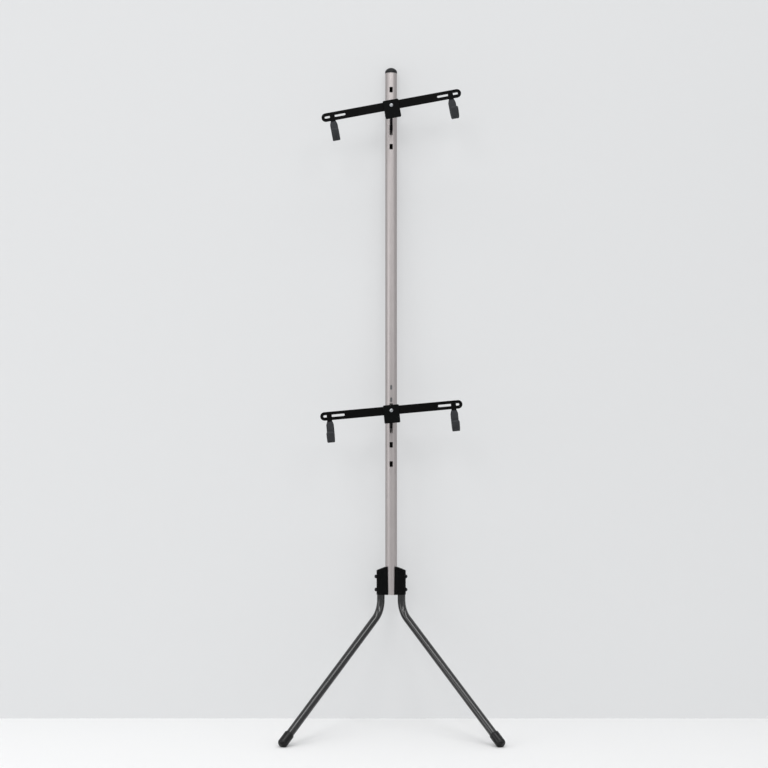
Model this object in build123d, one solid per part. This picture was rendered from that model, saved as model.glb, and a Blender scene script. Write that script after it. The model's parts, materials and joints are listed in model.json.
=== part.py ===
from build123d import *
from math import acos, atan2, cos, degrees, radians, sin
import os

os.makedirs("parts", exist_ok=True)

# Wall-leaning stand for two bicycles. Millimetres and degrees.
# +Z is up, -Y is the side the bicycles hang on, +Y is the wall the pole rests against.

# Stance on the floor and against the wall
pole_lean = 2.0             # the pole's tilt back towards the wall
pole_foot_height = 414.0    # floor to the pole's lower end
stance_depth = 450.0        # wall to the ends of the legs
foot_spread = 652.0         # between the ends of the legs
leg_end_height = 13.5       # floor to the middle of a leg's lower end

# Pole, in two lengths
pole_diameter = 38.0
pole_wall = 2.0
lower_pole_length = 647.0
upper_pole_length = 1042.0

# Rows of slots that the arm brackets hook into
slot_width = 10.5
slot_height = 18.0
slot_corner = 1.5
slot_pitch = 62.0
slots_in_row = 4
upper_row_drop = 56.0       # pole's top down to the middle of the row's top slot
lower_row_drop = 41.0       # pole joint down to the middle of the row's top slot

# Sleeve inside the pole joint, with a snap tab in a window each side of the joint
sleeve_wall = 2.0
sleeve_reach = 80.0
sleeve_clearance = 0.1
sleeve_notch_width = 15.0
sleeve_notch_margin = 3.0
tab_width = 6.0
tab_height = 15.0
tab_offset = 20.0
tab_clearance = 0.2
tab_recess = 0.3

# Domed end cap
cap_overhang = 0.5
cap_skirt = 7.0
cap_dome = 11.5
cap_shoulder = 6.0
cap_plug_length = 26.0
cap_plug_clearance = 0.1

# Legs
leg_diameter = 25.0
leg_wall = 1.5
leg_offset = 33.2           # pole's middle to a leg's middle, where they run side by side
leg_bend_radius = 75.0
leg_bend_drop = 53.0        # pole's lower end down to the corner of the bend

# Saddles that hold the legs to the pole
saddle_height = 92.0
saddle_slope = 14.0         # fall of the top towards the outside
saddle_wall = 1.5
saddle_lip = 3.0
saddle_lip_edge = 10.4      # pole's middle to the lip's edge, at the bottom
saddle_lip_taper = 2.0      # how much further the lip's edge stands at the top
saddle_roof = 4.0
saddle_clearance = 0.15
saddle_boss_radius = 7.5
saddle_edge_round = 1.5     # along the top and the lips
saddle_foot_round = 0.5     # along the bottom

# Bolts through both saddles, both legs and the pole
leg_bolt_radius = 3.0
leg_bolt_rise = 16.0        # saddle's bottom up to the lower bolt
leg_bolt_drop = 34.0        # saddle's top down to the upper bolt
leg_bolt_hole_clearance = 0.3
leg_bolt_head_radius = 5.25
leg_bolt_head_height = 4.2
leg_washer_radius = 6.2
leg_washer_thickness = 1.2
leg_nut_flats = 10.0
leg_nut_thickness = 3.0
leg_nut_dome = 2.4

# Every nut on its bolt or stud
thread_clearance = 0.05
nut_chamfer = 0.6           # on the corners of the plain nuts

# Boots on the legs
boot_diameter = 31.0
boot_grip = 35.0            # length of leg inside the boot
boot_end = 14.0             # rubber past the leg's end
boot_end_round = 11.5
boot_mouth_chamfer = 2.0
boot_clearance = 0.1
boot_toe = 17.0             # leg's end to the front of the boot

# Arm brackets, folded from sheet and hooked into two slots of the pole
arm_reach = 155.0           # pole's middle to the front of the cradle bar
tongue_rise = 16.0          # pivot up to the middle of the slot that takes the upper tongue
upper_arm_slot = 1          # slots counted down from the top of the row
lower_arm_slot = 0
bracket_width = 9.0
bracket_sheet = 3.0
bracket_top = 16.0
bracket_bottom = -70.0
bracket_nose_top = -9.0
bracket_nose_bottom = -34.0
bracket_gap = 0.3
tongue_seat = 0.4
tongue_neck = 9.0
tongue_hook = 6.0
tongue_drop = 7.0
tongue_wall_gap = 0.35
head_width = 40.0
head_top = 15.0
head_bottom = -37.0
head_corner = 5.0
head_thickness = 5.0

# Pivot between a bracket and its cradle
pivot_radius = 3.0
pivot_running_clearance = 0.05
pivot_fixed_clearance = 0.1
pivot_head_radius = 5.5
pivot_head_height = 3.6
pivot_socket_flats = 4.0
pivot_socket_depth = 2.0
pivot_washer_radius = 6.5
pivot_washer_thickness = 1.2
pivot_nut_flats = 10.0
pivot_nut_thickness = 6.0
pivot_tail = 2.0
disc_radius = 18.0
disc_thickness = 1.5
disc_gap = 0.05

# Cradle bars
bar_height = 27.0
bar_thickness = 5.0
bar_half_span = 211.0       # pivot to the middle of the bar's round end
bar_edge_round = 0.8
bar_slot_width = 7.0
bar_slot_inner = 151.0      # pivot to the inner end of a slot, at the middle of its round
upper_tilt = 10.55
lower_tilt = 5.2

# Centre blocks over the bars
block_width = 50.0
block_top = 17.5
block_bottom = -40.0
block_face = 5.0
block_corner = 4.0
block_edge_round = 1.5
block_clearance = 0.1

# Hooks that slide along the bars
upper_hook_place = 190.0
lower_hook_place = 196.0
strap_width = 16.0
strap_thickness = 3.0
strap_top = 10.0
strap_top_corner = 4.0
strap_gap = 0.1
hook_radius = 30.5          # middle of the strap round the bend
hook_depth = 49.0           # bar's middle down to the middle of the bend
hook_sweep = 172.0
pad_width = 24.0
pad_neck = 17.5             # width at the top, under the bar
pad_flare = 15.0            # height over which it widens
pad_skin = 3.0
pad_bar_gap = 1.5
pad_clearance = 0.1
pad_corner = 5.0
pad_edge_round = 3.0
stud_radius = 3.0
stud_tail = 1.5
hook_washer_radius = 6.5
hook_washer_thickness = 1.2
hook_nut_flats = 10.0
hook_nut_thickness = 5.0
hook_hole_clearance = 0.1

# Sizes that follow from the ones above
pole_radius = pole_diameter / 2
pole_bore = pole_radius - pole_wall
pole_length = lower_pole_length + upper_pole_length
leg_radius = leg_diameter / 2
boot_radius = boot_diameter / 2
cap_radius = pole_radius + cap_overhang
saddle_outer_radius = leg_radius + saddle_wall
saddle_side = leg_offset + saddle_outer_radius
leg_top = saddle_height - saddle_slope - saddle_roof
leg_bolt_heights = (leg_bolt_rise, saddle_height - leg_bolt_drop)
bar_front = -arm_reach
bar_back = bar_front + bar_thickness
disc_front = bar_back + disc_gap
head_front = disc_front + disc_thickness
head_back = head_front + head_thickness
block_front = bar_front - block_face
strap_back = bar_front - strap_gap
hook_middle = strap_back - strap_thickness / 2 - hook_radius

# The wall stands behind the origin by half the depth and the boots reach as far in front
wall_y = (stance_depth + boot_toe) / 2
cap_contact = cap_radius * cos(radians(pole_lean)) + (pole_length + cap_skirt) * sin(radians(pole_lean))
pole_place = Location((0, wall_y - cap_contact, pole_foot_height), (-pole_lean, 0, 0))

upper_row_top = pole_length - upper_row_drop
lower_row_top = lower_pole_length - lower_row_drop
upper_row = [upper_row_top - slot_pitch * count for count in range(slots_in_row)]
lower_row = [lower_row_top - slot_pitch * count for count in range(slots_in_row)]
upper_pivot_height = upper_row[upper_arm_slot] - tongue_rise
lower_pivot_height = lower_row[lower_arm_slot] - tongue_rise

on_floor = (Align.CENTER, Align.CENTER, Align.MIN)


def save(node, *solids):
    export_step(Compound(children=list(solids)), f"parts/{node}.step")


def rod_x(radius, start, end):
    return Pos((start + end) / 2, 0, 0) * Rot(0, 90, 0) * Cylinder(radius, end - start)


def rod_y(radius, start, end):
    return Pos(0, (start + end) / 2, 0) * Rot(90, 0, 0) * Cylinder(radius, end - start)


def plate_y(sketch, start, end):
    # A sketch drawn in X and Z, standing between two depths
    return Pos(0, end, 0) * extrude(Plane.XZ * sketch, end - start)


def plate_x(sketch, width):
    # A sketch drawn in Y and Z, as wide to the left as to the right
    return extrude(Plane.YZ * sketch, width / 2, both=True)


def hexagon(flats):
    return RegularPolygon(flats / 2, 6, major_radius=False)


def ring_y(outer, inner, start, end):
    return rod_y(outer, start, end) - rod_y(inner, start, end)


def hex_nut_y(flats, hole, start, end):
    turned = rod_y(flats / 2 / cos(radians(30)), start, end)
    turned = chamfer(turned.edges().filter_by(GeomType.CIRCLE), nut_chamfer)
    return (turned & plate_y(hexagon(flats), start, end)) - rod_y(hole, start, end)


def crown_arc(radius, base, rise):
    # An arc from a rim up to the middle of a round crown
    crown_radius = (radius**2 + rise**2) / (2 * rise)
    return RadiusArc((radius, base), (0, base + rise), -crown_radius)


def button_head(radius, height):
    # A low dome on a short straight rim, standing up from the XY plane
    rim = height / 3
    dome = crown_arc(radius, rim, height - rim)
    outline = Polyline((0, height), (0, 0), (radius, 0), (radius, rim))
    return revolve(Plane.XZ * make_face([*outline.edges(), *dome.edges()]), Axis.Z)


# Pole


def slot_cuts():
    window = Plane.XZ * RectangleRounded(slot_width, slot_height, slot_corner)
    cut = extrude(window, pole_diameter)
    return [Pos(0, 0, height) * cut for height in upper_row + lower_row]


def tab_prism(width, height, front):
    oblong = Plane.XZ * SlotOverall(height, width, rotation=90)
    prism = Pos(0, -pole_bore + sleeve_wall / 2, 0) * extrude(oblong, front - pole_bore + sleeve_wall / 2)
    return [Pos(0, 0, lower_pole_length + offset) * prism for offset in (-tab_offset, tab_offset)]


def leg_bolt_cuts():
    hole = rod_x(leg_bolt_radius + leg_bolt_hole_clearance, -2 * saddle_side, 2 * saddle_side)
    return [Pos(0, 0, height) * hole for height in leg_bolt_heights]


def pole_section(start, length):
    tube = Cylinder(pole_radius, length, align=on_floor) - Cylinder(pole_bore, length, align=on_floor)
    windows = tab_prism(tab_width + 2 * tab_clearance, tab_height + 2 * tab_clearance, pole_diameter)
    return Pos(0, 0, start) * tube - slot_cuts() - windows - leg_bolt_cuts()


def pole_sleeve():
    outer = pole_bore - sleeve_clearance
    length = 2 * sleeve_reach
    tube = Cylinder(outer, length, align=on_floor) - Cylinder(outer - sleeve_wall, length, align=on_floor)
    start = lower_pole_length - sleeve_reach
    notch_top = lower_row_top + slot_height / 2 + sleeve_notch_margin
    notch_height = notch_top - start
    notch = Box(sleeve_notch_width, pole_radius, notch_height, align=(Align.CENTER, Align.MAX, Align.MIN))
    tabs = tab_prism(tab_width, tab_height, pole_radius - tab_recess)
    return Pos(0, 0, start) * (tube - notch) + tabs


def top_cap():
    plug = pole_bore - cap_plug_clearance
    dome = crown_arc(cap_radius, cap_skirt, cap_dome)
    outline = Polyline(
        (0, cap_skirt + cap_dome),
        (0, -cap_plug_length),
        (plug, -cap_plug_length),
        (plug, 0),
        (cap_radius, 0),
        (cap_radius, cap_skirt),
    )
    profile = make_face([*outline.edges(), *dome.edges()])
    rim = profile.vertices().sort_by_distance((cap_radius, cap_skirt))[0]
    profile = fillet(rim, cap_shoulder)
    return Pos(0, 0, pole_length) * revolve(Plane.XZ * profile, Axis.Z)


save("pole_lower", pole_place * pole_section(0, lower_pole_length))
save("pole_upper", pole_place * pole_section(lower_pole_length, upper_pole_length))
save("pole_sleeve", pole_place * pole_sleeve())
save("top_cap", pole_place * top_cap())


# Legs, saddles and boots


def leg_points(side):
    top = (pole_place * Pos(side * leg_offset, 0, leg_top)).position
    corner = (pole_place * Pos(side * leg_offset, 0, -leg_bend_drop)).position
    end = Vector(side * foot_spread / 2, wall_y - stance_depth, leg_end_height)
    return top, corner, end


def leg(side):
    path = FilletPolyline(*leg_points(side), radius=leg_bend_radius)
    section = Plane(origin=path @ 0, z_dir=path % 0)
    outer = sweep(section * Circle(leg_radius), path=path)
    inner = sweep(section * Circle(leg_radius - leg_wall), path=path)
    return outer - inner - [pole_place * cut for cut in leg_bolt_cuts()]


def boot(side):
    corner, end = leg_points(side)[1:]
    up_leg = (corner - end).normalized()
    down = Vector(0, 0, -1)
    # Turned so that the round end starts on the floor side, where the sole is cut flat
    along = Plane(origin=end, x_dir=down - up_leg * down.dot(up_leg), z_dir=up_leg)
    body = Pos(0, 0, -boot_end) * Cylinder(boot_radius, boot_end + boot_grip, align=on_floor)
    body = fillet(body.edges().sort_by(Axis.Z)[0], boot_end_round)
    body = chamfer(body.edges().sort_by(Axis.Z)[-1], boot_mouth_chamfer)
    body -= Cylinder(leg_radius + boot_clearance, boot_grip, align=on_floor)
    floor_side = 4 * boot_diameter
    below_floor = Box(floor_side, floor_side, boot_diameter, align=(Align.CENTER, Align.CENTER, Align.MAX))
    return along * body - Pos(end.X, end.Y, 0) * below_floor


def saddle(side):
    # Outline from the lip's two corners, each by a straight line, round the back of the leg
    lip_radius = pole_radius + saddle_lip
    lip_y = (lip_radius**2 - saddle_lip_edge**2) ** 0.5
    to_corner = Vector(saddle_lip_edge - leg_offset, lip_y)
    turn = atan2(to_corner.Y, to_corner.X) - acos(saddle_outer_radius / to_corner.length)
    touch_x = leg_offset + saddle_outer_radius * cos(turn)
    touch_y = saddle_outer_radius * sin(turn)
    walls = Polyline(
        (touch_x, touch_y),
        (saddle_lip_edge, lip_y),
        (saddle_lip_edge, -lip_y),
        (touch_x, -touch_y),
    )
    back = ThreePointArc((touch_x, -touch_y), (saddle_side, 0), (touch_x, touch_y))
    block = extrude(make_face([*walls.edges(), *back.edges()]), saddle_height)
    for height in leg_bolt_heights:
        block += Pos(0, 0, height) * rod_x(saddle_boss_radius, leg_offset, saddle_side)
    slope = Polyline(
        (saddle_lip_edge, saddle_height),
        (saddle_side, saddle_height - saddle_slope),
        (saddle_side, 2 * saddle_height),
        (saddle_lip_edge, 2 * saddle_height),
        close=True,
    )
    block -= extrude(Plane.XZ * make_face(slope), pole_diameter, both=True)
    lips = Polyline(
        (0, 0),
        (saddle_lip_edge, 0),
        (saddle_lip_edge + saddle_lip_taper, saddle_height),
        (0, saddle_height),
        close=True,
    )
    block -= extrude(Plane.XZ * make_face(lips), pole_diameter, both=True)
    top = block.faces().sort_by(Axis.Z)[-1]
    lip = block.faces().sort_by(Axis.X)[0]
    block = fillet(top.edges() + lip.edges().filter_by(Axis.Y, reverse=True), saddle_edge_round)
    block = fillet(block.faces().sort_by(Axis.Z)[0].edges(), saddle_foot_round)
    block -= Cylinder(pole_radius + saddle_clearance, saddle_height, align=on_floor)
    socket = Cylinder(leg_radius + saddle_clearance, leg_top + saddle_clearance, align=on_floor)
    block -= Pos(leg_offset, 0, 0) * socket
    block -= leg_bolt_cuts()
    return block if side > 0 else mirror(block, Plane.YZ)


def leg_bolt(height):
    head_seat = saddle_side + leg_washer_thickness
    nut_end = -head_seat - leg_nut_thickness
    head = Pos(head_seat, 0, 0) * Rot(0, 90, 0) * button_head(leg_bolt_head_radius, leg_bolt_head_height)
    return Pos(0, 0, height) * (rod_x(leg_bolt_radius, nut_end, head_seat) + head)


def leg_washer(side, height):
    start = saddle_side
    end = saddle_side + leg_washer_thickness
    hole = leg_bolt_radius + leg_bolt_hole_clearance
    ring = rod_x(leg_washer_radius, start, end) - rod_x(hole, start, end)
    return Pos(0, 0, height) * (ring if side > 0 else mirror(ring, Plane.YZ))


def leg_nut(height):
    seat = -saddle_side - leg_washer_thickness
    nut = extrude(hexagon(leg_nut_flats), leg_nut_thickness)
    nut -= Cylinder(leg_bolt_radius + thread_clearance, leg_nut_thickness, align=on_floor)
    nut += Pos(0, 0, leg_nut_thickness) * button_head(leg_nut_flats / 2, leg_nut_dome)
    return Pos(seat, 0, height) * Rot(0, -90, 0) * nut


for side, side_name in ((-1, "left"), (1, "right")):
    save(f"leg_{side_name}", leg(side))
    save(f"leg_saddle_{side_name}", pole_place * saddle(side))
    save(f"foot_{side_name}", boot(side))

washers = [leg_washer(side, height) for side in (-1, 1) for height in leg_bolt_heights]
save("leg_bolts", *[pole_place * leg_bolt(height) for height in leg_bolt_heights])
save("leg_washers", *[pole_place * washer for washer in washers])
save("leg_nuts", *[pole_place * leg_nut(height) for height in leg_bolt_heights])


# Arms. Each is drawn with the pole's middle at Y = 0 and its pivot at Z = 0


def tongue(slot_middle):
    # A neck through the slot and a hook that drops behind the pole's wall
    neck_bottom = slot_middle - slot_height / 2 + tongue_seat
    inner_face = -((pole_bore**2 - (bracket_width / 2) ** 2) ** 0.5) + tongue_wall_gap
    hook_back = inner_face + tongue_hook
    rear = -pole_radius - bracket_gap
    outline = Polyline(
        (rear, neck_bottom),
        (inner_face, neck_bottom),
        (inner_face, neck_bottom - tongue_drop),
        (hook_back, neck_bottom - tongue_drop),
        (hook_back, neck_bottom + tongue_neck),
        (rear, neck_bottom + tongue_neck),
        close=True,
    )
    return make_face(outline)


def arm_bracket():
    rear = -pole_radius - bracket_gap
    cheek = make_face(
        Polyline(
            (rear, bracket_top),
            (head_back, bracket_nose_top),
            (head_back, bracket_nose_bottom),
            (rear, bracket_bottom),
            close=True,
        )
    )
    cheek += [tongue(tongue_rise), tongue(tongue_rise - slot_pitch)]
    inside = make_face(
        Polyline(
            (0, bracket_top - bracket_sheet),
            (rear, bracket_top - bracket_sheet),
            (head_back, bracket_nose_top - bracket_sheet),
            (head_back, 2 * bracket_bottom),
            (0, 2 * bracket_bottom),
            close=True,
        )
    )
    channel = plate_x(cheek, bracket_width) - plate_x(inside, bracket_width - 2 * bracket_sheet)
    head = RectangleRounded(head_width, head_top - head_bottom, head_corner)
    head = Pos(0, 0, (head_top + head_bottom) / 2) * plate_y(head, head_front, head_back)
    return channel + head - rod_y(pivot_radius + pivot_fixed_clearance, head_front, head_back)


def pivot_bolt():
    washer_back = head_back + pivot_washer_thickness
    tail = washer_back + pivot_nut_thickness + pivot_tail
    head = Pos(0, block_front, 0) * Rot(90, 0, 0) * button_head(pivot_head_radius, pivot_head_height)
    socket_front = block_front - pivot_head_height
    socket = plate_y(hexagon(pivot_socket_flats), socket_front, socket_front + pivot_socket_depth)
    return rod_y(pivot_radius, block_front, tail) + head - socket


def cradle_bar():
    outline = SlotCenterToCenter(2 * bar_half_span, bar_height)
    bar = plate_y(outline, bar_front, bar_back)
    rims = bar.edges().filter_by(GeomType.LINE).filter_by(Axis.X) + bar.edges().filter_by(GeomType.CIRCLE)
    bar = fillet(rims, bar_edge_round)
    slot_run = bar_half_span - bar_slot_inner
    slot = plate_y(SlotCenterToCenter(slot_run, bar_slot_width), bar_front, bar_back)
    for side in (-1, 1):
        bar -= Pos(side * (bar_half_span - slot_run / 2), 0, 0) * slot
    return bar - rod_y(pivot_radius + pivot_running_clearance, bar_front, bar_back)


def centre_block():
    outline = RectangleRounded(block_width, block_top - block_bottom, block_corner)
    block = Pos(0, 0, (block_top + block_bottom) / 2) * plate_y(outline, block_front, bar_back)
    block = fillet(block.faces().sort_by(Axis.Y)[0].edges(), block_edge_round)
    block -= plate_y(Rectangle(2 * block_width, bar_height + 2 * block_clearance), bar_front, bar_back)
    return block - rod_y(pivot_radius + pivot_running_clearance, block_front, bar_front)


def hook_profile(top, thickness, sweep_angle):
    # Side view of the J: straight down behind, round below and up in front
    outer = hook_radius + thickness / 2
    inner = hook_radius - thickness / 2

    def on_bend(radius, angle):
        return (hook_middle + radius * cos(radians(angle)), -hook_depth - radius * sin(radians(angle)))

    half_way = sweep_angle / 2
    back = ThreePointArc(on_bend(outer, 0), on_bend(outer, half_way), on_bend(outer, sweep_angle))
    tip = Line(on_bend(outer, sweep_angle), on_bend(inner, sweep_angle))
    front = ThreePointArc(on_bend(inner, sweep_angle), on_bend(inner, half_way), on_bend(inner, 0))
    stem = Polyline(
        on_bend(inner, 0),
        (hook_middle + inner, top),
        (hook_middle + outer, top),
        on_bend(outer, 0),
    )
    return make_face([*back.edges(), *tip.edges(), *front.edges(), *stem.edges()])


def hook_strap():
    strap = plate_x(hook_profile(strap_top, strap_thickness, hook_sweep), strap_width)
    top_corners = strap.edges().filter_by(Axis.Y).group_by(Axis.Z)[-1]
    strap = fillet(top_corners, strap_top_corner)
    stud_end = bar_back + strap_gap + hook_washer_thickness + hook_nut_thickness + stud_tail
    return strap + rod_y(stud_radius, strap_back, stud_end)


def hook_pad():
    pad_top = -bar_height / 2 - pad_bar_gap
    tip_turn = degrees(pad_skin / hook_radius)
    side_view = hook_profile(pad_top, strap_thickness + 2 * pad_skin, hook_sweep + tip_turn)
    pad = plate_x(side_view, pad_width)
    ends = pad.faces().filter_by(GeomType.PLANE).filter_by(Axis.X, reverse=True)
    tip = ends.sort_by(Axis.Y)[0]
    pad = fillet(tip.edges().filter_by(Axis.X, reverse=True), pad_corner)
    pad = fillet(pad.faces().filter_by(Axis.X).edges(), pad_edge_round)
    shoulder = make_face(
        Polyline(
            (pad_neck / 2, pad_top),
            (pad_width / 2, pad_top - pad_flare),
            (pad_width, pad_top - pad_flare),
            (pad_width, pad_top),
            close=True,
        )
    )
    shoulder = plate_y(shoulder, strap_back - pad_width, strap_back + pad_width)
    pad -= [shoulder, mirror(shoulder, Plane.YZ)]
    space = hook_profile(strap_top, strap_thickness + 2 * pad_clearance, hook_sweep)
    return pad - plate_x(space, strap_width + 2 * pad_clearance)


def hook_washer():
    start = bar_back + strap_gap
    hole = stud_radius + hook_hole_clearance
    return ring_y(hook_washer_radius, hole, start, start + hook_washer_thickness)


def hook_nut():
    start = bar_back + strap_gap + hook_washer_thickness
    hole = stud_radius + thread_clearance
    return hex_nut_y(hook_nut_flats, hole, start, start + hook_nut_thickness)


def save_arm(arm, pivot_height, tilt, hook_place):
    arm_place = pole_place * Pos(0, 0, pivot_height)
    cradle_place = arm_place * Rot(0, -tilt, 0)
    washer_back = head_back + pivot_washer_thickness
    fixed_hole = pivot_radius + pivot_fixed_clearance
    washer = ring_y(pivot_washer_radius, fixed_hole, head_back, washer_back)
    nut_hole = pivot_radius + thread_clearance
    nut = hex_nut_y(pivot_nut_flats, nut_hole, washer_back, washer_back + pivot_nut_thickness)
    disc = ring_y(disc_radius, fixed_hole, disc_front, head_front)
    save(f"{arm}_arm_bracket", arm_place * arm_bracket())
    save(f"{arm}_pivot_bolt", arm_place * pivot_bolt())
    save(f"{arm}_pivot_washer", arm_place * washer)
    save(f"{arm}_pivot_nut", arm_place * nut)
    save(f"{arm}_friction_disc", arm_place * disc)
    save(f"{arm}_cradle_bar", cradle_place * cradle_bar())
    save(f"{arm}_centre_block", cradle_place * centre_block())
    for side, side_name in ((-1, "left"), (1, "right")):
        hook_frame = cradle_place * Pos(side * hook_place, 0, 0)
        save(f"{arm}_{side_name}_hook_strap", hook_frame * hook_strap())
        save(f"{arm}_{side_name}_hook_pad", hook_frame * hook_pad())
        save(f"{arm}_{side_name}_hook_washer", hook_frame * hook_washer())
        save(f"{arm}_{side_name}_hook_nut", hook_frame * hook_nut())


save_arm("upper", upper_pivot_height, upper_tilt, upper_hook_place)
save_arm("lower", lower_pivot_height, lower_tilt, lower_hook_place)
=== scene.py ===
import json
import math

import bmesh
import bpy
import numpy as np
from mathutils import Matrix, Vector


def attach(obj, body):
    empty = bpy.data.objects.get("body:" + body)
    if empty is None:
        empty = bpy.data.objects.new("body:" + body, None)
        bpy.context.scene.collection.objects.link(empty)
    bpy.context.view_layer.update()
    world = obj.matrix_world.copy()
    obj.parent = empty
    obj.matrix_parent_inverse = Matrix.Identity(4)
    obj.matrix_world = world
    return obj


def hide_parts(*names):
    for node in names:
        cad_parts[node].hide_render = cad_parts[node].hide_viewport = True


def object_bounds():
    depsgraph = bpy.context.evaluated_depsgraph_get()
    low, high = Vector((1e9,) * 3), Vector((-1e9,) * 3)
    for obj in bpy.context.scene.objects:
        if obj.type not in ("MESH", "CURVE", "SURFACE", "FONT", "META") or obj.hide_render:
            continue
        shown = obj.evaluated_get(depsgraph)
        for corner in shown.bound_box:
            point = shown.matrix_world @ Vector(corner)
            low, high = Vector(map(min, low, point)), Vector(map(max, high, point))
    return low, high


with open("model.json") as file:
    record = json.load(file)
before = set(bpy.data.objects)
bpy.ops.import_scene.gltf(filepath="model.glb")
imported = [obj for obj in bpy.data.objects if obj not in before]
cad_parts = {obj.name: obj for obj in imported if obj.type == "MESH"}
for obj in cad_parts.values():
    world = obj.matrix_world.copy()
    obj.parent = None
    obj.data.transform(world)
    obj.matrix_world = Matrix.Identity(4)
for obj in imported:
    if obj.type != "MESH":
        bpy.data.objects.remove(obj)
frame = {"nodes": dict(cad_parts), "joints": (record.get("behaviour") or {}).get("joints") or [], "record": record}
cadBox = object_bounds()
nodes = frame["nodes"]
joints = {joint["name"]: joint for joint in frame["joints"]}
bodies = frame["record"]["behaviour"]["bodies"]
bodyOf = {node: body for body, members in bodies.items() for node in members}
slotOf = {part["node"]: part["material_slot"] for part in frame["record"]["subparts"]}
arms = ("upper", "lower")
sides = {"left": -1, "right": 1}
mm = 0.001
print("frame loaded:", len(nodes), "nodes")


def linear(hexCode):  # sRGB hex to linear red, green, blue, alpha
    channels = np.array([int(hexCode[i:i + 2], 16) for i in (1, 3, 5)]) / 255
    dark = channels / 12.92
    bright = ((channels + 0.055) / 1.055) ** 2.4
    return (*np.where(channels <= 0.04045, dark, bright), 1.0)


def perMm(size):  # texture scale at which one cell is this many millimetres wide
    return 1 / (size * mm)


def addNode(tree, kind, values=None, links=None, **settings):
    made = tree.nodes.new(kind)
    for name, value in settings.items():
        setattr(made, name, value)
    for name, value in (values or {}).items():
        made.inputs[name].default_value = value
    for name, socket in (links or {}).items():
        tree.links.new(socket, made.inputs[name])
    return made


def startMaterial(name):
    material = bpy.data.materials.new(name)
    material.use_nodes = True
    tree = material.node_tree
    shader = tree.nodes["Principled BSDF"]
    place = addNode(tree, "ShaderNodeTexCoord").outputs["Object"]
    return material, tree, shader, place


def finishShader(tree, shader, colour, gloss, relief, steady):  # steady inputs are the same all over
    for name, value in steady.items():
        shader.inputs[name].default_value = value
    tree.links.new(colour.outputs["Result"], shader.inputs["Base Color"])
    tree.links.new(gloss.outputs["Result"], shader.inputs["Roughness"])
    tree.links.new(relief.outputs["Normal"], shader.inputs["Normal"])


# Places on the stand, given in millimetres and turned to metres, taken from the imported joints
def unit(vector):
    return np.array(vector) / np.linalg.norm(vector)


pivots = {"reach": 152.5, "upperHigh": 1555.0}  # pole's middle to the bar's middle, upper pivot up the pole
poleUp = unit(joints["upper_bracket_lift"]["axis"])
poleRight = np.array((1.0, 0.0, 0.0))
poleBack = np.cross(poleUp, poleRight)


def spread(origin, axes, x, y, z):  # points x, y, z millimetres along three axes from an origin in metres
    x, y, z = np.broadcast_arrays(x, y, z)
    return origin + mm * (x[..., None] * axes[0] + y[..., None] * axes[1] + z[..., None] * axes[2])


def armOrigin(arm):  # the pole's middle, straight behind an arm's pivot
    return np.array(joints[arm + "_cradle_tilt"]["pos_m"]) + poleBack * pivots["reach"] * mm


def onArm(arm, x, y, z):  # right of, behind and above the arm's origin
    return spread(armOrigin(arm), (poleRight, poleBack, poleUp), x, y, z)


def onPole(x, y, z):  # right of, behind and above the middle of the pole's lower end
    return onArm("upper", x, y, np.asarray(z) - pivots["upperHigh"])


def onBar(arm, x, y, z):  # along the tilted bar, behind the arm's origin and square above the bar
    along = unit(joints[arm + "_right_hook_slide"]["axis"])
    return spread(armOrigin(arm), (along, poleBack, np.cross(along, poleBack)), x, y, z)


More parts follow.
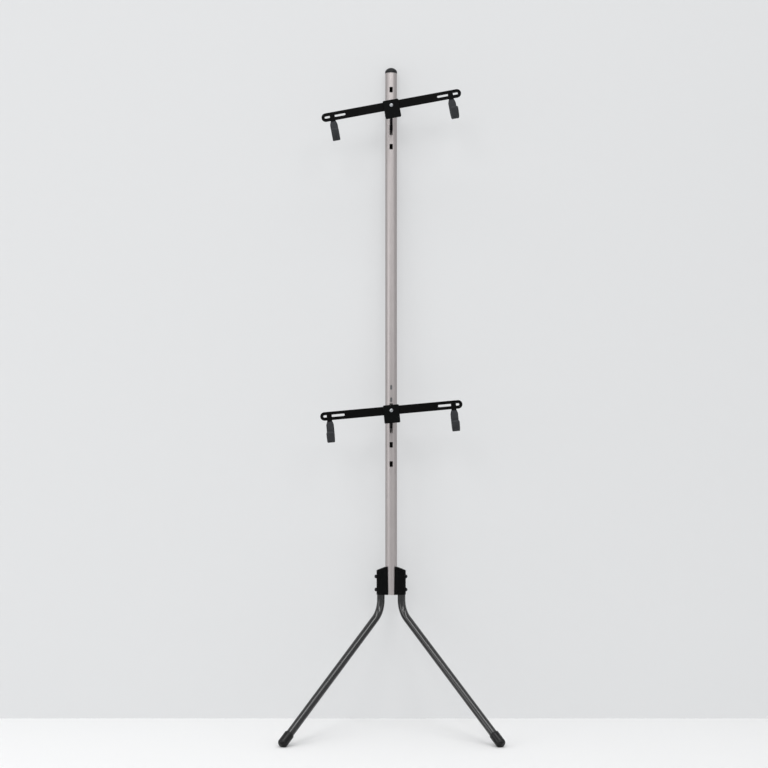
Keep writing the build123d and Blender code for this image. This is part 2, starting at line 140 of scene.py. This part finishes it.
# Materials of the stand. Grain and drawn lines are about 0.1 to 0.3 mm on such pieces, too fine to show,
# so they are drawn coarser here. The orange peel on the legs has its real size.
def anodisedAluminium():
    # Drawn tube, etched and clear anodised: soft satin grey, faint lines along its length, and painted shade dark
    # in the bore
    look = {"light": "#b4aead", "dark": "#a8a2a1", "bore": "#2b2a29", "boreMm": 18.4, "rough": (0.4, 0.48),
            "lineMm": 0.8, "lineLengthMm": 300, "lineDepthMm": 0.006, "lineStrength": 0.1, "lineShare": 0.4,
            "cloudMm": 60, "detail": 2.0}
    material, tree, shader, place = startMaterial("anodised drawn aluminium")
    across, along = perMm(look["lineMm"]), perMm(look["lineLengthMm"])
    lean = math.atan2(poleUp[1], poleUp[2])
    foot = onPole(0, 0, 0)
    shift = foot[2] * math.sin(lean) - foot[1] * math.cos(lean)  # brings the pole's axis onto the zero line
    upright = addNode(tree, "ShaderNodeMapping", {"Rotation": (lean, 0, 0), "Location": (0, shift, 0)},
                      {"Vector": place}).outputs[0]
    outward = addNode(tree, "ShaderNodeVectorMath", {1: (1, 1, 0)}, {0: upright}, operation="MULTIPLY")
    radius = addNode(tree, "ShaderNodeVectorMath", None, {0: outward.outputs[0]}, operation="LENGTH")
    boreShadeMask = addNode(tree, "ShaderNodeMath", {1: look["boreMm"] * mm}, {0: radius.outputs["Value"]},
                     operation="LESS_THAN")
    drawn = addNode(tree, "ShaderNodeMapping", {"Scale": (across, across, along)}, {"Vector": upright})
    lines = addNode(tree, "ShaderNodeTexNoise", {"Scale": 1.0, "Detail": look["detail"]},
                    {"Vector": drawn.outputs[0]})
    cloud = addNode(tree, "ShaderNodeTexNoise", {"Scale": perMm(look["cloudMm"]), "Detail": look["detail"]},
                    {"Vector": place})
    tone = addNode(tree, "ShaderNodeMix", {"Factor": look["lineShare"]},
                   {"A": cloud.outputs[0], "B": lines.outputs[0]}, data_type="FLOAT")
    skin = addNode(tree, "ShaderNodeMix", {"A": linear(look["dark"]), "B": linear(look["light"])},
                   {"Factor": tone.outputs[0]}, data_type="RGBA")
    # Painted shade: the bore is coloured dark, standing for the shade seen inside the slots
    colour = addNode(tree, "ShaderNodeMix", {"B": linear(look["bore"])},
                     {"A": skin.outputs["Result"], "Factor": boreShadeMask.outputs[0]}, data_type="RGBA")
    gloss = addNode(tree, "ShaderNodeMapRange", {"To Min": look["rough"][0], "To Max": look["rough"][1]},
                    {"Value": tone.outputs[0]})
    relief = addNode(tree, "ShaderNodeBump",
                     {"Strength": look["lineStrength"], "Distance": look["lineDepthMm"] * mm},
                     {"Height": lines.outputs[0]})
    finishShader(tree, shader, colour, gloss, relief, {"Metallic": 1.0})
    return material


grainLook = {"grainDetail": 2.0, "cloudDetail": 3.0, "cloudShare": 0.6, "strength": 0.4}


def grainedFinish(name, dark, light, rough, grainMm, depthMm, steady, cloudMm=30):
    # A coat, moulding or plating: an even fine grain, a slow drift of tone and a matching drift of gloss
    material, tree, shader, place = startMaterial(name)
    grain = addNode(tree, "ShaderNodeTexNoise",
                    {"Scale": perMm(grainMm), "Detail": grainLook["grainDetail"]}, {"Vector": place})
    cloud = addNode(tree, "ShaderNodeTexNoise",
                    {"Scale": perMm(cloudMm), "Detail": grainLook["cloudDetail"]}, {"Vector": place})
    tone = addNode(tree, "ShaderNodeMix", {"Factor": grainLook["cloudShare"]},
                   {"A": grain.outputs[0], "B": cloud.outputs[0]}, data_type="FLOAT")
    colour = addNode(tree, "ShaderNodeMix", {"A": linear(dark), "B": linear(light)},
                     {"Factor": tone.outputs[0]}, data_type="RGBA")
    gloss = addNode(tree, "ShaderNodeMapRange", {"To Min": rough[0], "To Max": rough[1]},
                    {"Value": tone.outputs[0]})
    relief = addNode(tree, "ShaderNodeBump", {"Strength": grainLook["strength"], "Distance": depthMm * mm},
                     {"Height": grain.outputs[0]})
    finishShader(tree, shader, colour, gloss, relief, steady)
    return material


def specular(level):
    return {"Specular IOR Level": level}


metal = {"Metallic": 1.0}
dull = specular(0.055)
# Powder coat with a fine satin grain, nearly black, that hardly shines
satinCoat = {"dark": "#050505", "light": "#090909", "rough": (0.4, 0.52), "grainMm": 0.6, "depthMm": 0.04,
             "steady": dull}
finishes = {
    "pole_anodised": anodisedAluminium(),
    # Extruded and left as it comes. Its darker grey than the pole is painted shade, for the two snap tabs seen in
    # the slots
    "sleeve_alloy": grainedFinish("mill finish aluminium in painted shade", "#626365", "#717274", rough=(0.36, 0.5),
                                  grainMm=0.8, depthMm=0.02, steady=metal),
    # Moulded soft cap: charcoal with a dry sheen
    "cap_rubber": grainedFinish("moulded rubber cap", "#0d0e10", "#141517", rough=(0.36, 0.48),
                                grainMm=0.6, depthMm=0.03, steady=specular(0.25)),
    # Powder coat baked on steel tube: deep black, glossy, with a faint orange peel
    "leg_paint": grainedFinish("gloss black powder coat", "#050506", "#09090a", rough=(0.13, 0.19),
                               grainMm=1.8, depthMm=0.03, steady=specular(0.7)),
    # Glass filled nylon of the saddles: dull black with the spark grain of its mould
    "saddle_nylon": grainedFinish("moulded black nylon saddle", "#050505", "#090909", rough=(0.46, 0.6),
                                  grainMm=0.7, depthMm=0.04, steady=dull),
    # Black zinc on steel: dark, slightly metallic and smooth
    "black_steel": grainedFinish("black zinc steel", "#161719", "#1e1f21", rough=(0.3, 0.42),
                                 grainMm=0.5, depthMm=0.01, steady={"Metallic": 0.6}),
    # Moulded rubber boot: near black with a soft sheen along its length
    "boot_rubber": grainedFinish("moulded rubber boot", "#050506", "#09090a", rough=(0.22, 0.3),
                                 grainMm=0.9, depthMm=0.03, steady=specular(0.28)),
    "bracket_paint": grainedFinish("satin black powder coat sheet", **satinCoat),
    "bar_paint": grainedFinish("satin black powder coat bar", **satinCoat),
    "hook_paint": grainedFinish("satin black powder coat strap", **satinCoat),
    # Glass filled nylon of the centre blocks: as dull as the saddles, a trace lighter
    "block_nylon": grainedFinish("moulded black nylon block", "#060707", "#0a0b0b", rough=(0.44, 0.58),
                                 grainMm=0.7, depthMm=0.04, steady=dull),
    # Bright zinc on steel: pale, smooth, a little cloudy
    "zinc_steel": grainedFinish("bright zinc steel", "#989b9e", "#acafb1", rough=(0.22, 0.36),
                                grainMm=0.5, depthMm=0.01, steady=metal, cloudMm=6),
    # Natural nylon: creamy and waxy
    "disc_nylon": grainedFinish("natural nylon", "#d6d1c2", "#e2ddd0", rough=(0.4, 0.52),
                                grainMm=0.8, depthMm=0.02, steady={}),
    # Moulded grip rubber: dark grey and dry, with a fine grain between its grooves
    "pad_rubber": grainedFinish("moulded grip rubber", "#343537", "#3e3f41", rough=(0.56, 0.7),
                                grainMm=0.5, depthMm=0.04, steady=dull),
}
for name, node in nodes.items():
    node.data.materials.clear()
    node.data.materials.append(finishes[slotOf[name]])
print("finishes on every node:", len(finishes))


def addPiece(name, mesh, slot, body, replaced=()):
    mesh.materials.clear()
    mesh.materials.append(finishes[slot])
    piece = bpy.data.objects.new(name, mesh)
    bpy.context.scene.collection.objects.link(piece)
    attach(piece, body)
    if replaced:
        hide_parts(*replaced)
    return piece


meshRules = {"mergeMm": 0.001, "sliverMm": 0.0001}  # closer points merge, thinner faces go


def gridMesh(name, points, sharp, capRows=False):
    # A surface over a grid of points: rows run along a path and columns go round its profile.
    # capRows draws the first and last row together to their middles. Edges over sharp degrees stay crisp.
    if capRows:
        ends = [np.broadcast_to(row.mean(0), row.shape)[None] for row in (points[0], points[-1])]
        points = np.concatenate((ends[0], points, ends[1]))
    rows, columns = points.shape[:2]
    row, column = np.meshgrid(np.arange(rows - 1), np.arange(columns), indexing="ij")
    nextRow, nextColumn = row + 1, (column + 1) % columns
    corners = (row * columns + column, row * columns + nextColumn,
               nextRow * columns + nextColumn, nextRow * columns + column)
    mesh = bpy.data.meshes.new(name)
    mesh.from_pydata(points.reshape(-1, 3), [], np.stack(corners, -1).reshape(-1, 4))
    shell = bmesh.new()
    shell.from_mesh(mesh)
    bmesh.ops.remove_doubles(shell, verts=shell.verts, dist=meshRules["mergeMm"] * mm)
    bmesh.ops.dissolve_degenerate(shell, edges=shell.edges, dist=meshRules["sliverMm"] * mm)
    bmesh.ops.recalc_face_normals(shell, faces=shell.faces)
    shell.to_mesh(mesh)
    shell.free()
    mesh.shade_smooth()
    mesh.set_sharp_from_angle(angle=math.radians(sharp))
    return mesh


# Folded brackets, with their sheet edges broken by a small round, in millimetres and degrees
bracketEdges = {"round": 0.6, "segments": 3, "sharp": 35, "flat": 0.2, "merge": 0.002}


def softenBracket(arm):
    # A copy of the solid's mesh with its points merged and its flat faces made whole, then bevelled
    size, name = bracketEdges, arm + "_arm_bracket"
    copy = nodes[name].data.copy()
    shell = bmesh.new()
    shell.from_mesh(copy)
    bmesh.ops.remove_doubles(shell, verts=shell.verts, dist=size["merge"] * mm)
    bmesh.ops.dissolve_limit(shell, angle_limit=math.radians(size["flat"]), verts=shell.verts,
                             edges=shell.edges)
    shell.to_mesh(copy)
    shell.free()
    copy.shade_smooth()
    piece = addPiece(name + "_softened", copy, slotOf[name], bodyOf[name], (name,))
    bevel = piece.modifiers.new("round", "BEVEL")
    bevel.width, bevel.segments = size["round"] * mm, size["segments"]
    bevel.use_clamp_overlap = False
    bevel.limit_method, bevel.angle_limit = "ANGLE", math.radians(size["sharp"])
    bevel.harden_normals = True


for arm in arms:
    softenBracket(arm)
print("edges rounded on", len(arms), "brackets")

# Rubber pads in the hooks: a rounded strip carried down the strap and round its bend, with grip grooves.
# Lengths in millimetres from the bar, the pivot and the pole, angles in degrees.
padSizes = {
    "place": {"upper": 190.0, "lower": 196.0}, "middle": -187.1, "depth": 49.0, "bend": 30.5, "sweep": 177.6,
    "top": -15.0, "start": 3.0, "neck": 17.5, "width": 24.0, "flare": 15.0, "thick": 9.0, "edge": 3.0,
    "tipCorner": 5.0, "tipThinning": 0.6, "tipFlat": 0.02,
    "grooveDeep": 0.6, "grooveWide": 0.5, "groovePitch": 3.2, "grooveStart": 26.0, "grooveEnd": 4.0,
    "fadeIn": 3.0, "fadeOut": 2.0, "faceShare": 0.9,
    "rows": 330, "crowding": 0.15, "faceColumns": 100, "edgeColumns": 24, "sharp": 60,
}


def smoothStep(x):  # 0 to 1 with level ends: 3x^2 - 2x^3
    x = np.clip(x, 0, 1)
    return x * x * (3 - 2 * x)


def toNearest(x, pitch):  # signed distance to the nearest multiple of the pitch
    return (x + pitch / 2) % pitch - pitch / 2


def roundedStrip(faceCount, edgeCount, halfWide, halfThick, edge):
    # Once round a rectangle, up its right side and over its faces, with a quarter circle for each corner
    face = np.linspace(-1, 1, faceCount, endpoint=False)
    side = np.linspace(-1, 1, edgeCount, endpoint=False)
    across = np.concatenate((np.ones(edgeCount), -face, -np.ones(edgeCount), face))
    through = np.concatenate((side, np.ones(faceCount), -side, -np.ones(faceCount)))
    limit = np.stack((halfWide, halfThick), -1)[:, None]
    reach = np.stack((across, through), -1) * limit
    inner = np.clip(reach, edge - limit, limit - edge)
    away = reach - inner
    length = np.maximum(np.linalg.norm(away, axis=-1, keepdims=True), 1e-9)  # never divides by zero
    return inner + away / length * np.minimum(length, edge)


def padGrooves(size, along, across, through, halfThick, total):
    # How far each point sinks: bell curves about lines both ways, on the two faces, fading out at both ends
    rowLines = np.exp(-(toNearest(along[:, None] - size["grooveStart"], size["groovePitch"])
                        / size["grooveWide"]) ** 2)
    columnLines = np.exp(-(toNearest(across, size["groovePitch"]) / size["grooveWide"]) ** 2)
    lines = np.maximum(rowLines, columnLines)
    onFace = smoothStep((np.abs(through) / halfThick[:, None] - size["faceShare"]) / (1 - size["faceShare"]))
    grip = smoothStep((along - size["grooveStart"]) / size["fadeIn"])
    grip = grip * smoothStep((total - size["grooveEnd"] - along) / size["fadeOut"])
    return size["grooveDeep"] * lines * onFace * grip[:, None]


def hookPad(arm, side):
    # Straight down, then an arc. Width grows from neck to full over the flare and rounds in at the tip.
    size = padSizes
    straight = size["depth"] + size["top"]
    total = straight + size["bend"] * math.radians(size["sweep"])
    run = np.linspace(0, 1, size["rows"])
    eased = (1 - np.cos(math.pi * run)) / 2
    run = size["crowding"] * eased + (1 - size["crowding"]) * run  # rows a little closer at both ends
    along = size["start"] + (total - size["start"]) * run
    turn = np.maximum(along - straight, 0)[:, None] / size["bend"]
    wide = size["neck"] + (size["width"] - size["neck"]) * smoothStep(along / size["flare"])
    left = np.clip(size["tipCorner"] - (total - along), 0, size["tipCorner"])
    tuck = size["tipCorner"] - np.sqrt(np.maximum(size["tipCorner"] ** 2 - left ** 2, 0))
    halfWide = wide / 2 - tuck
    halfThick = size["thick"] / 2 - size["tipThinning"] * tuck
    edge = np.minimum(size["edge"], halfThick - size["tipFlat"])[:, None, None]
    profile = roundedStrip(size["faceColumns"], size["edgeColumns"], halfWide, halfThick, edge)
    across, through = profile[..., 0], profile[..., 1]
    sunk = padGrooves(size, along, across, through, halfThick, total)
    radius = size["bend"] - (through - np.sign(through) * sunk)
    y = size["middle"] + np.where(turn > 0, radius * np.cos(turn), radius)
    z = np.where(turn > 0, -size["depth"] - radius * np.sin(turn), size["top"] - along[:, None])
    points = onBar(arm, side * size["place"][arm] + across, y, z)
    return gridMesh("pad", points, size["sharp"], capRows=True)


for arm in arms:
    for word, side in sides.items():
        hook = f"{arm}_{word}_hook"
        addPiece(hook + "_grip", hookPad(arm, side), "pad_rubber", hook, (hook + "_pad",))
print("hook grips made")

# Rubber boots on the leg ends, in millimetres and degrees
bootSizes = {"radius": 15.45, "toe": 13.9, "grip": 35.0, "round": 11.5, "chamfer": 2.0, "bore": 12.6,
             "beadDrop": 5.5, "beadDeep": 0.35, "beadWide": 0.8, "wallStart": 0.5,
             "soleRows": 5, "roundRows": 20, "wallRows": 60, "columns": 96, "sharp": 35}
legSizes = {"spread": 652.0, "endHeight": 13.5, "endBack": 450.0, "offset": 33.2, "bendDrop": 53.0}
wallY = cadBox[1][1] / mm


def bootMesh(side):
    # One outline turned round the leg: a flat toe, a quarter round, a straight wall with a fine groove,
    # a chamfered mouth and the bore. What would reach below the floor is pressed flat.
    size, leg = bootSizes, legSizes
    end = np.array((side * leg["spread"] / 2, wallY - leg["endBack"], leg["endHeight"])) * mm
    corner = onPole(side * leg["offset"], 0, -leg["bendDrop"])
    axis = unit(corner - end)
    cross = unit(np.cross(axis, (0, 0, 1)))
    lift = np.cross(cross, axis)
    bend = np.linspace(0, math.pi / 2, size["roundRows"])
    flat = size["radius"] - size["round"]
    sole = np.linspace(0, flat, size["soleRows"])[:-1]
    wallFoot = size["round"] - size["toe"] + size["wallStart"]
    wallRun = np.linspace(wallFoot, size["grip"] - size["chamfer"], size["wallRows"])
    beadRun = wallRun - size["grip"] + size["beadDrop"]
    bead = size["beadDeep"] * np.exp(-(beadRun / size["beadWide"]) ** 2)
    mouth = [size["radius"] - size["chamfer"], size["bore"], size["bore"], 0]
    radius = np.concatenate((sole, flat + size["round"] * np.sin(bend), size["radius"] - bead, mouth))
    rounded = size["round"] * (1 - np.cos(bend)) - size["toe"]
    mouthRun = [size["grip"], size["grip"], 0, 0]
    along = np.concatenate((np.full(len(sole), -size["toe"]), rounded, wallRun, mouthRun))
    turn = np.linspace(0, 2 * math.pi, size["columns"], endpoint=False)[:, None]
    outward = np.cos(turn) * cross + np.sin(turn) * lift
    points = end + mm * (along[:, None, None] * axis + radius[:, None, None] * outward)
    points[..., 2] = np.maximum(points[..., 2], 0)
    return gridMesh("boot", points, size["sharp"])


for word, side in sides.items():
    addPiece(f"foot_{word}_boot", bootMesh(side), "boot_rubber", "frame", (f"foot_{word}",))
print("boots made")

# Weld beads that join each folded bracket to its head plate, in millimetres and degrees
weldSizes = {"halfWide": 4.5, "plateBack": -143.45, "high": -10.0, "low": -33.0, "bead": 1.7,
             "ripple": 0.18, "ripplePitch": 1.9, "endShare": 0.3, "endPower": 12,
             "rows": 120, "columns": 20, "sharp": 60}


def weldBead(arm, side):
    # A circle carried down the corner: its radius ripples as a sine wave and falls to a share at both ends
    size = weldSizes
    run = np.linspace(0, 1, size["rows"])
    height = size["high"] + (size["low"] - size["high"]) * run
    taper = np.sqrt(np.clip(1 - (2 * run - 1) ** size["endPower"], 0, 1))
    rippled = size["bead"] + size["ripple"] * np.sin(2 * math.pi * height / size["ripplePitch"])
    radius = (rippled * (size["endShare"] + (1 - size["endShare"]) * taper))[:, None]
    turn = np.linspace(0, 2 * math.pi, size["columns"], endpoint=False)
    x = side * size["halfWide"] + radius * np.cos(turn)
    y = size["plateBack"] + radius * np.sin(turn)
    return gridMesh("weld", onArm(arm, x, y, height[:, None]), size["sharp"], capRows=True)


for arm in arms:
    for word, side in sides.items():
        addPiece(f"{arm}_bracket_weld_{word}", weldBead(arm, side), "bracket_paint", arm + "_bracket")
print("welds laid")

# Floor, wall, light and camera, in metres
studio = {
    "floor": "#efefef", "rough": 0.9, "specular": 0.1, "halfWide": 7.0, "front": -9.0, "back": 9.0,
    # the wall's head colour is painted shade, deepening from the wall colour up to shadeHigh
    "wall": "#e0e1e2", "wallPaintedShadeTop": "#d1d2d3", "shadeHigh": 2.35, "wallHigh": 7.0, "wallGap": 0.001,
    "wallGlow": "#e3e4e5", "glowShare": 0.5,
    "surround": "#f4f5f6", "fill": 0.5, "backdrop": "#d2d3d4",
    "softboxes": {
        "overhead bank": {"place": (0, -1.4, 4.6), "aim": (0, -1.39, 0), "size": (6.2, 0.9), "watts": 80},
        "left front bank": {"place": (-1.5, -4.4, 4.0), "aim": (0, 0, 1.1), "size": (1.7, 1.4), "watts": 42},
        "right front bank": {"place": (1.7, -4.4, 4.0), "aim": (0, 0, 1.1), "size": (1.7, 1.4), "watts": 37},
        "left bank": {"place": (-3.2, -1.9, 1.7), "aim": (0, 0.1, 1.15), "size": (2.3, 2.3), "watts": 25},
        "right bank": {"place": (3.4, -2.8, 1.8), "aim": (0, 0, 1.1), "size": (1.2, 2.4), "watts": 9},
    },
}


def eyeRays(tree):  # 1 for what the camera sees, straight or in metal and glass, and 0 for other light
    ray = addNode(tree, "ShaderNodeLightPath").outputs
    mirrored = addNode(tree, "ShaderNodeMath", None,
                       {0: ray["Is Glossy Ray"], 1: ray["Is Transmission Ray"]}, operation="MAXIMUM")
    seen = addNode(tree, "ShaderNodeMath", None,
                   {0: ray["Is Camera Ray"], 1: mirrored.outputs[0]}, operation="MAXIMUM")
    return seen.outputs[0]


def stageSheet(name, corners, hexCode):  # one matt sheet
    mesh = bpy.data.meshes.new(name)
    mesh.from_pydata(corners, [], [(0, 1, 2, 3)])
    sheet = bpy.data.objects.new(name, mesh)
    bpy.context.scene.collection.objects.link(sheet)
    material, tree, shader, place = startMaterial(name)
    shader.inputs["Base Color"].default_value = linear(hexCode)
    shader.inputs["Roughness"].default_value = studio["rough"]
    shader.inputs["Specular IOR Level"].default_value = studio["specular"]
    mesh.materials.append(material)
    return material, tree, shader, place


def wallPaint(material, tree, shader, place):
    # Painted shade: darker towards the head. Part of the tone is a glow for the eye alone, so shadows stay faint.
    height = addNode(tree, "ShaderNodeSeparateXYZ", None, {0: place}).outputs["Z"]
    rise = addNode(tree, "ShaderNodeMapRange", {"From Max": studio["shadeHigh"]}, {"Value": height})
    shade = addNode(tree, "ShaderNodeMix", {"A": linear(studio["wall"]), "B": linear(studio["wallPaintedShadeTop"])},
                    {"Factor": rise.outputs[0]}, data_type="RGBA")
    tree.links.new(shade.outputs["Result"], shader.inputs["Base Color"])
    glow = addNode(tree, "ShaderNodeEmission", {"Color": linear(studio["wallGlow"])})
    share = addNode(tree, "ShaderNodeMath", {1: studio["glowShare"]}, {0: eyeRays(tree)},
                    operation="MULTIPLY")
    lit = addNode(tree, "ShaderNodeMixShader", None,
                  {0: share.outputs[0], 1: shader.outputs[0], 2: glow.outputs[0]})
    material.cycles.emission_sampling = "NONE"  # the glow lights nothing
    rear = addNode(tree, "ShaderNodeNewGeometry").outputs["Backfacing"]
    clear = addNode(tree, "ShaderNodeBsdfTransparent")  # from behind, so that the back of the stand shows
    mixed = addNode(tree, "ShaderNodeMixShader", None, {0: rear, 1: lit.outputs[0], 2: clear.outputs[0]})
    tree.links.new(mixed.outputs[0], tree.nodes["Material Output"].inputs["Surface"])


wide, near, far, high = (studio[key] for key in ("halfWide", "front", "back", "wallHigh"))
wallPlace = cadBox[1][1] + studio["wallGap"]
stageSheet("floor", [(-wide, near, 0), (wide, near, 0), (wide, far, 0), (-wide, far, 0)], studio["floor"])
wallCorners = [(-wide, wallPlace, 0), (wide, wallPlace, 0),
               (wide, wallPlace, high), (-wide, wallPlace, high)]
wallPaint(*stageSheet("wall", wallCorners, studio["wall"]))
for name, box in studio["softboxes"].items():
    lamp = bpy.data.lights.new(name, "AREA")
    lamp.shape = "RECTANGLE"
    lamp.size, lamp.size_y = box["size"]
    lamp.energy = box["watts"]
    holder = bpy.data.objects.new(name, lamp)
    bpy.context.scene.collection.objects.link(holder)
    holder.location = box["place"]
    aim = Vector(box["aim"]) - Vector(box["place"])
    holder.rotation_euler = aim.to_track_quat("-Z", "Y").to_euler()

world = bpy.data.worlds.new("studio")
world.use_nodes = True
bpy.context.scene.world = world
worldTree = world.node_tree
surround = worldTree.nodes["Background"]
surround.inputs["Color"].default_value = linear(studio["surround"])
surround.inputs["Strength"].default_value = studio["fill"]
backdrop = addNode(worldTree, "ShaderNodeBackground", {"Color": linear(studio["backdrop"])})
around = addNode(worldTree, "ShaderNodeMixShader", None,
                 {0: eyeRays(worldTree), 1: surround.outputs[0], 2: backdrop.outputs[0]})
worldTree.links.new(around.outputs[0], worldTree.nodes["World Output"].inputs["Surface"])

# The camera stands level and square to the wall, lens and sensor in millimetres
shot = {"lens": 82.1, "sensor": 36, "left": 0.0231, "fromWall": 5.72, "height": 1.092}
camera = bpy.data.cameras.new("camera")
camera.lens, camera.sensor_width = shot["lens"], shot["sensor"]
viewer = bpy.data.objects.new("camera", camera)
bpy.context.scene.collection.objects.link(viewer)
viewer.location = (-shot["left"], cadBox[1][1] - shot["fromWall"], shot["height"])
viewer.rotation_euler = (math.pi / 2, 0, 0)
bpy.context.scene.camera = viewer
bpy.context.scene.view_settings.view_transform = "Standard"
print("stage set")
